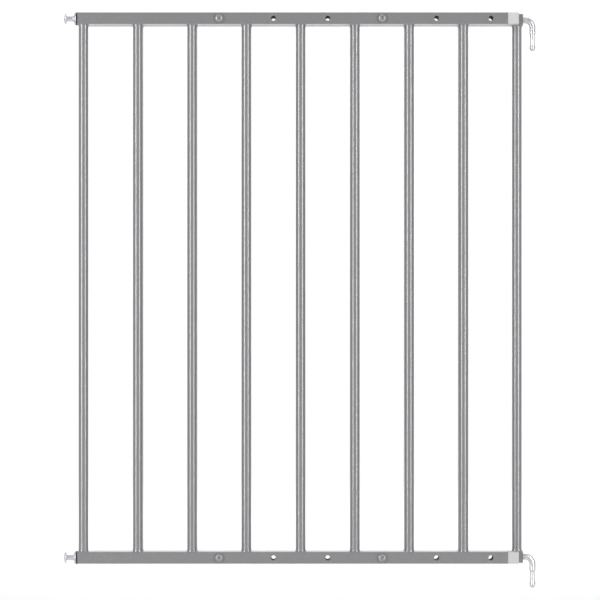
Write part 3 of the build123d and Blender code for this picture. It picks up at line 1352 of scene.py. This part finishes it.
def panel_screw_shape(node, settings):
    """A pan-headed screw, made on Z from its threaded tip up to its crown."""
    low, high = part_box(node)
    middle = (low + high) / 2
    length = high.y - low.y
    head = (high.z - low.z) / 2
    rod = SCREW_RADIUS
    pitch = settings.screw_pitch
    head_under = length - SCREW_HEAD_HEIGHT
    thread_end = SCREW_THREAD_LENGTH
    outline = [(0.0, 0.0), (rod - ROD_CHAMFER, 0.0)]
    outline += [(rod, z) for z in rod_rows(ROD_CHAMFER, thread_end, pitch)]
    crown = [
        (rod, head_under, 0.0003),
        (head, head_under, 0.0002),
        (head, head_under + SCREW_HEAD_RIM, 0.0004),
        (head - 0.0004, head_under + SCREW_HEAD_RIM + 0.0010, 0.0008),
        (head - 0.0019, length - 0.0004, 0.0012),
        (0.0025, length, 0.0010),
        (0.0012, length),
        (0.0, length),
    ]
    outline += rounded([(rod, thread_end), *crown], 4)[1:]
    bm = bmesh.new()
    spin_outline(bm, outline, 48)
    cut_thread(bm, 0.0003, thread_end, pitch, settings.thread_depth * pitch, pitch)
    sink_cross(bm, length, settings)
    move_all(bm, facing((middle.x, high.y, middle.z), (0.0, -1.0, 0.0)))
    return bm


class GATE_OT_build_panel_screws(bpy.types.Operator):
    """Build the four cross-recess screws that hold the panels together"""

    bl_idname = "gate.build_panel_screws"
    bl_label = "Panel Screws"

    def execute(self, context):
        settings = context.scene.gate_hardware
        for level in LEVELS:
            for side in SCREW_SIDES:
                node = f"panel_screw_{level}_{side}"
                bm = panel_screw_shape(node, settings)
                finish_piece(bm, node, "plated", dull_zinc(), sharp=60.0)
        return {"FINISHED"}


def cap_nut_shape(node):
    """A domed hexagon nut with a plain blind bore, made on Z from its seat."""
    low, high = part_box(node)
    middle = (low + high) / 2
    height = high.y - low.y
    flats = min(high.x - low.x, high.z - low.z) / 2
    bm = bmesh.new()
    base = bmesh.ops.create_circle(bm, segments=6, radius=flats / cos(pi / 6))["verts"]
    if high.x - low.x > high.z - low.z:
        bmesh.ops.rotate(bm, verts=base, cent=(0, 0, 0), matrix=Matrix.Rotation(pi / 6, 3, "Z"))
    draw_out(bm, edges_of(base), (0.0, 0.0, HEX_HEIGHT))
    upright = [e for e in bm.edges if abs((e.verts[0].co - e.verts[1].co).z) > HEX_HEIGHT / 2]
    soften(bm, upright, HEX_EDGE, segments=2)
    bore_ring = round_the_hexagon(bm, 0.0, NUT_BORE)
    dome_ring = round_the_hexagon(bm, HEX_HEIGHT, DOME_RADIUS)
    close_dome(bm, dome_ring, HEX_HEIGHT, DOME_RADIUS, height)
    bored = draw_out(bm, bore_ring, (0.0, 0.0, NUT_BORE_DEPTH))
    fill_ring(bm, bored)
    bmesh.ops.recalc_face_normals(bm, faces=bm.faces)
    outside = DOME_RADIUS + 0.0002
    crest = [
        edge
        for edge in sharp_edges(bm, 70.0)
        if all(hypot(v.co.x, v.co.y) > outside for v in edge.verts)
    ]
    soften(bm, crest, HEX_CREST, segments=2)
    move_all(bm, facing((middle.x, low.y, middle.z), (0.0, 1.0, 0.0)))
    return bm


def open_border(bm, z):
    """The open edges that lie at that height."""
    border = [e for e in bm.edges if e.is_boundary]
    return [e for e in border if all(abs(v.co.z - z) < 1e-6 for v in e.verts)]


def round_the_hexagon(bm, z, radius):
    """Joins the hexagon's open border to a circle inside it and returns the circle."""
    sides = [e for e in open_border(bm, z) if e.calc_length() > 0.002]
    bmesh.ops.subdivide_edges(bm, edges=sides, cuts=4)
    border = open_border(bm, z)
    place = Matrix.Translation((0.0, 0.0, z))
    made = bmesh.ops.create_circle(bm, segments=len(border), radius=radius, matrix=place)
    circle = edges_of(made["verts"])
    bmesh.ops.bridge_loops(bm, edges=border + circle)
    return circle


def close_dome(bm, ring, start, radius, height):
    """Raises a straight shoulder and a quarter round to the pole."""
    shoulder = height - radius
    at = start
    wide = radius
    stations = [(start + 0.0002, radius), (shoulder, radius)]
    for step in range(1, 12):
        angle = step / 12 * pi / 2
        stations.append((shoulder + radius * sin(angle), radius * cos(angle)))
    for z, wanted in stations:
        ring = draw_out(bm, ring, (0.0, 0.0, z - at), wanted / wide, (0.0, 0.0, z))
        at = z
        wide = wanted
    fill_ring(bm, ring)


class GATE_OT_build_cap_nuts(bpy.types.Operator):
    """Build the domed nuts behind the rear rails, with their washers"""

    bl_idname = "gate.build_cap_nuts"
    bl_label = "Cap Nuts"

    def execute(self, context):
        for level in LEVELS:
            for side in SCREW_SIDES:
                nut = f"cap_nut_{level}_{side}"
                washer = f"nut_washer_{level}_{side}"
                bm = cap_nut_shape(nut)
                finish_piece(bm, nut, "plated", zinc_plate(), sharp=35.0)
                bm = washer_shape(washer, NUT_WASHER_BORE, 0.00015, (0.0, 1.0, 0.0))
                finish_piece(bm, washer, "plated", zinc_plate())
        return {"FINISHED"}


# ---- stage ----

def floor_material(colour):
    """Pale matt floor with a very faint grain."""
    material, tree, shader = new_finish("studio_floor")
    grain = noise_node(tree, object_place(tree), 60.0, 3.0)
    base = mix_colours(tree, grain, Vector(colour) * 0.99, colour)
    tree.links.new(base, shader.inputs["Base Color"])
    shader.inputs["Roughness"].default_value = 0.9
    tree.links.new(bump_node(tree, grain, 0.0002, 0.2), shader.inputs["Normal"])
    return material


def add_light(name, place, aim, size, power):
    """A soft rectangular light that faces a point."""
    light = bpy.data.lights.new(name, "AREA")
    light.shape = "RECTANGLE"
    light.size = size[0]
    light.size_y = size[1]
    light.energy = power
    lamp = bpy.data.objects.new(name, light)
    lamp.location = place
    lamp.rotation_euler = (Vector(aim) - Vector(place)).to_track_quat("-Z", "Y").to_euler()
    bpy.context.scene.collection.objects.link(lamp)


def add_sweep(floor_z, settings):
    """A plain floor that curves up into a backdrop well behind the gate."""
    bm = bmesh.new()
    bmesh.ops.create_grid(bm, x_segments=1, y_segments=1, size=1.0)
    bmesh.ops.scale(bm, vec=(9.0, 8.0, 1.0), verts=bm.verts)
    bmesh.ops.translate(bm, vec=(0.0, -2.0, floor_z), verts=bm.verts)
    back = [e for e in bm.edges if all(v.co.y > 5.0 for v in e.verts)]
    curve = bmesh.ops.spin(
        bm,
        geom=back + list(back[0].verts),
        cent=(0.0, 6.0, floor_z + 2.0),
        axis=(1.0, 0.0, 0.0),
        angle=pi / 2,
        steps=24,
        use_duplicate=False,
    )["geom_last"]
    wall = [g for g in curve if isinstance(g, bmesh.types.BMEdge)]
    draw_out(bm, wall, (0.0, 0.0, 6.0))
    bmesh.ops.recalc_face_normals(bm, faces=bm.faces)
    mesh = bpy.data.meshes.new("studio_sweep")
    bm.to_mesh(mesh)
    bm.free()
    mesh.shade_smooth()
    mesh.materials.append(floor_material(settings.floor))
    sweep = bpy.data.objects.new("studio_sweep", mesh)
    bpy.context.scene.collection.objects.link(sweep)


class GATE_OT_build_stage(bpy.types.Operator):
    """Set the floor, lights, sky and camera"""

    bl_idname = "gate.build_stage"
    bl_label = "Stage"

    def execute(self, context):
        scene = context.scene
        settings = scene.gate_stage
        low, high = (Vector(corner) for corner in CAD_BOX)
        middle = (low + high) / 2
        add_sweep(low.z - settings.floor_drop, settings)
        for name, turn, share in (("strip_left", -1.1, 1.0), ("strip_right", 1.06, 0.9)):
            angle = settings.strip_angle * turn
            place = middle + Vector((sin(angle), -cos(angle), 0.0)) * STRIP_DISTANCE
            place.z = STRIP_HEIGHT
            aim = (middle.x, middle.y, STRIP_HEIGHT)
            add_light(name, place, aim, STRIP_SIZE, settings.strip_power * share)
        add_light("top_fill", (middle.x, -0.6, 3.2), middle, (2.6, 1.6), 10.0)
        add_light("floor_light", (middle.x, 2.6, 2.6), (middle.x, 2.6, 0.0), (5.0, 2.6), 30.0)
        for name, side in (("back_left", -1), ("back_right", 1)):
            place = (middle.x + 3.6 * side, 3.6, 2.4)
            add_light(name, place, (middle.x, 6.5, 1.0), (2.0, 2.5), 85.0)
        world = bpy.data.worlds.new("studio_sky")
        world.use_nodes = True
        sky = world.node_tree.nodes["Background"]
        sky.inputs["Color"].default_value = (1.0, 1.0, 1.0, 1.0)
        sky.inputs["Strength"].default_value = settings.sky
        scene.world = world
        self.add_camera(scene, settings, middle.x)
        scene.view_settings.view_transform = "Standard"
        return {"FINISHED"}

    def add_camera(self, scene, settings, middle_x):
        """A level camera, with only the upward shift that the view needs."""
        data = bpy.data.cameras.new("camera")
        camera = bpy.data.objects.new("camera", data)
        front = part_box("front_top_rail")[0].y
        place_x = middle_x - CAMERA_OFFSET
        camera.location = (place_x, front - settings.camera_distance, settings.camera_height)
        camera.rotation_euler = (pi / 2, 0.0, 0.0)
        data.sensor_width = SENSOR
        data.lens = SENSOR * settings.camera_distance / settings.view_width
        data.shift_y = (settings.view_middle - settings.camera_height) / settings.view_width
        data.clip_end = 60.0
        scene.collection.objects.link(camera)
        scene.camera = camera


# ---- panel and registration ----

OPERATORS = (
    GATE_OT_build_rails,
    GATE_OT_build_bars,
    GATE_OT_dress_plugs,
    GATE_OT_build_glide_caps,
    GATE_OT_build_hinge_hooks,
    GATE_OT_build_latch_studs,
    GATE_OT_build_stud_locks,
    GATE_OT_build_panel_screws,
    GATE_OT_build_cap_nuts,
    GATE_OT_build_stage,
)


class GATE_PT_build(bpy.types.Panel):
    """Lists every step of building the gate, with its settings"""

    bl_label = "Safety Gate"
    bl_idname = "GATE_PT_build"
    bl_space_type = "VIEW_3D"
    bl_region_type = "UI"
    bl_category = "Safety Gate"

    def draw(self, context):
        layout = self.layout
        for operator in OPERATORS:
            layout.operator(operator.bl_idname)
        for name, group in GATE_SETTINGS.items():
            box = layout.box()
            box.label(text=name.replace("gate_", "").title())
            for prop in group.__annotations__:
                box.prop(getattr(context.scene, name), prop)


CLASSES = (*GATE_SETTINGS.values(), *OPERATORS, GATE_PT_build)


def register():
    for cls in CLASSES:
        bpy.utils.register_class(cls)
    for name, group in GATE_SETTINGS.items():
        setattr(bpy.types.Scene, name, PointerProperty(type=group))


def unregister():
    for name in GATE_SETTINGS:
        delattr(bpy.types.Scene, name)
    for cls in reversed(CLASSES):
        bpy.utils.unregister_class(cls)


def main():
    register()
    bpy.ops.gate.build_rails()
    bpy.ops.gate.build_bars()
    bpy.ops.gate.dress_plugs()
    bpy.ops.gate.build_glide_caps()
    bpy.ops.gate.build_hinge_hooks()
    bpy.ops.gate.build_latch_studs()
    bpy.ops.gate.build_stud_locks()
    bpy.ops.gate.build_panel_screws()
    bpy.ops.gate.build_cap_nuts()
    bpy.ops.gate.build_stage()


if __name__ == "__main__":
    main()
